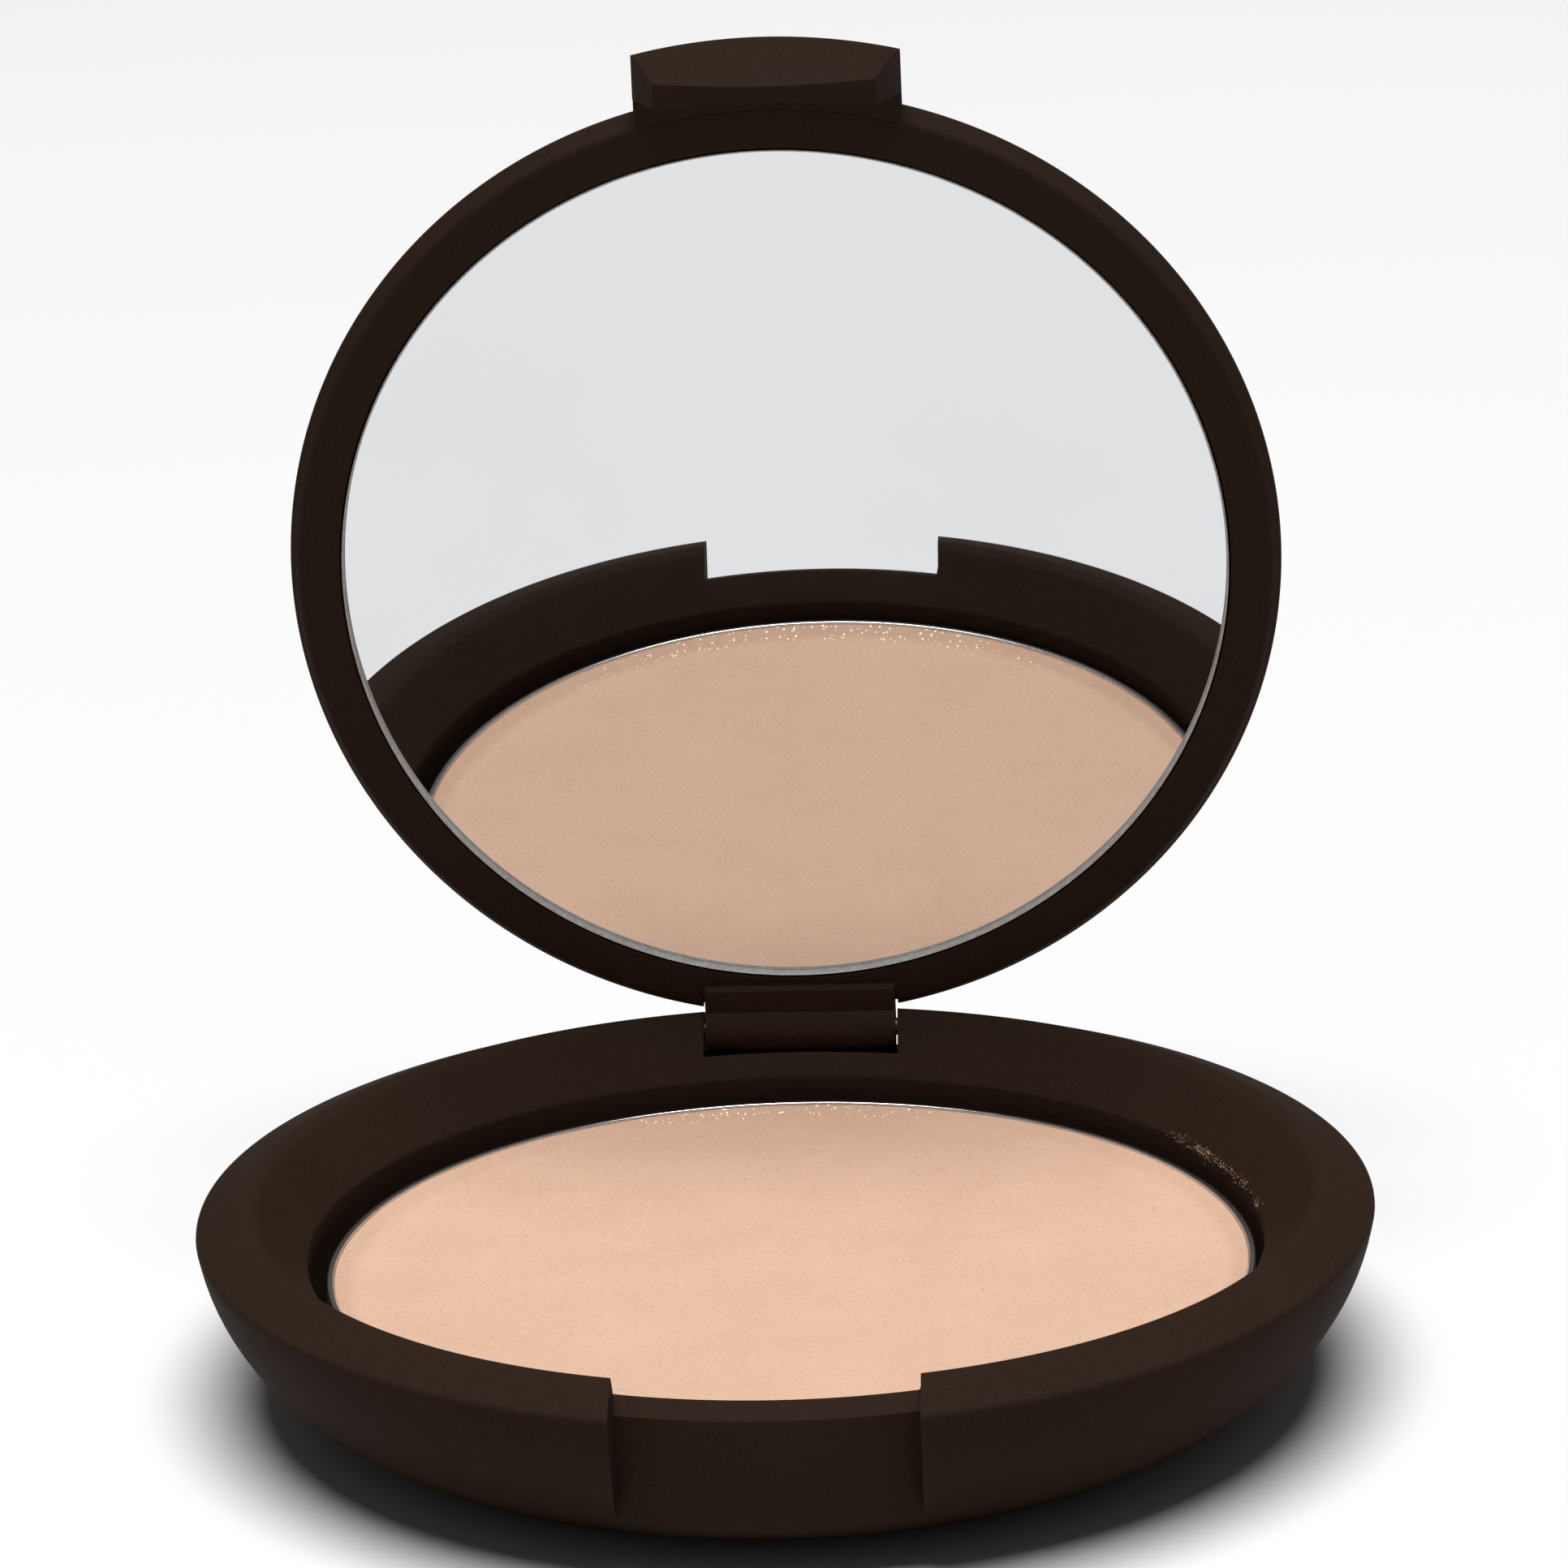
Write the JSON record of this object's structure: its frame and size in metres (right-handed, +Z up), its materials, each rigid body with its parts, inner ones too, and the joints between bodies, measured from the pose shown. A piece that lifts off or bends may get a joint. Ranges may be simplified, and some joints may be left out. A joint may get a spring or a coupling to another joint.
{
  "type": "powder compact",
  "caption": "Round pressed-powder compact shown open: dished pebble base with an aluminium powder pan, and a domed lid with an inset mirror and a thumb tab, on a rear pin hinge.",
  "frame": {"origin": "centre of the flat underside of the base", "axes": "+Z up from the underside; -Y towards the front notch and the user, hinge at +Y along X; the lid stands open 83 degrees from shut"},
  "size_m": [0.076, 0.0745, 0.0832],
  "materials": {
    "soft_touch_plastic": "fine matt soft-touch lacquer, dark warm brown",
    "inner_plastic": "plain moulded, uncoated",
    "label_film": "blank satin film",
    "pin_steel": "drawn wire",
    "pan_aluminium": "bright pressed sheet",
    "powder": null,
    "mirror_glass": "silvered float glass with a ground edge",
    "adhesive": "cured pad"
  },
  "bodies": {
    "base": {"base_shell": "soft_touch_plastic", "base_label": "label_film", "pan_tray": "inner_plastic", "hinge_pin": "pin_steel", "pan_adhesive": "adhesive", "powder_pan": "pan_aluminium", "pressed_powder": "powder"},
    "lid": {"lid_shell": "soft_touch_plastic", "lid_liner": "soft_touch_plastic", "mirror": "mirror_glass", "mirror_adhesive": "adhesive"}
  },
  "joints": [
    {"name": "lid_hinge", "type": "hinge", "parent": "base", "child": "lid", "pos_m": [0, 0.0341, 0.0118], "axis": [-1, 0, 0], "range_deg": [-83.03, 20]}
  ]
}
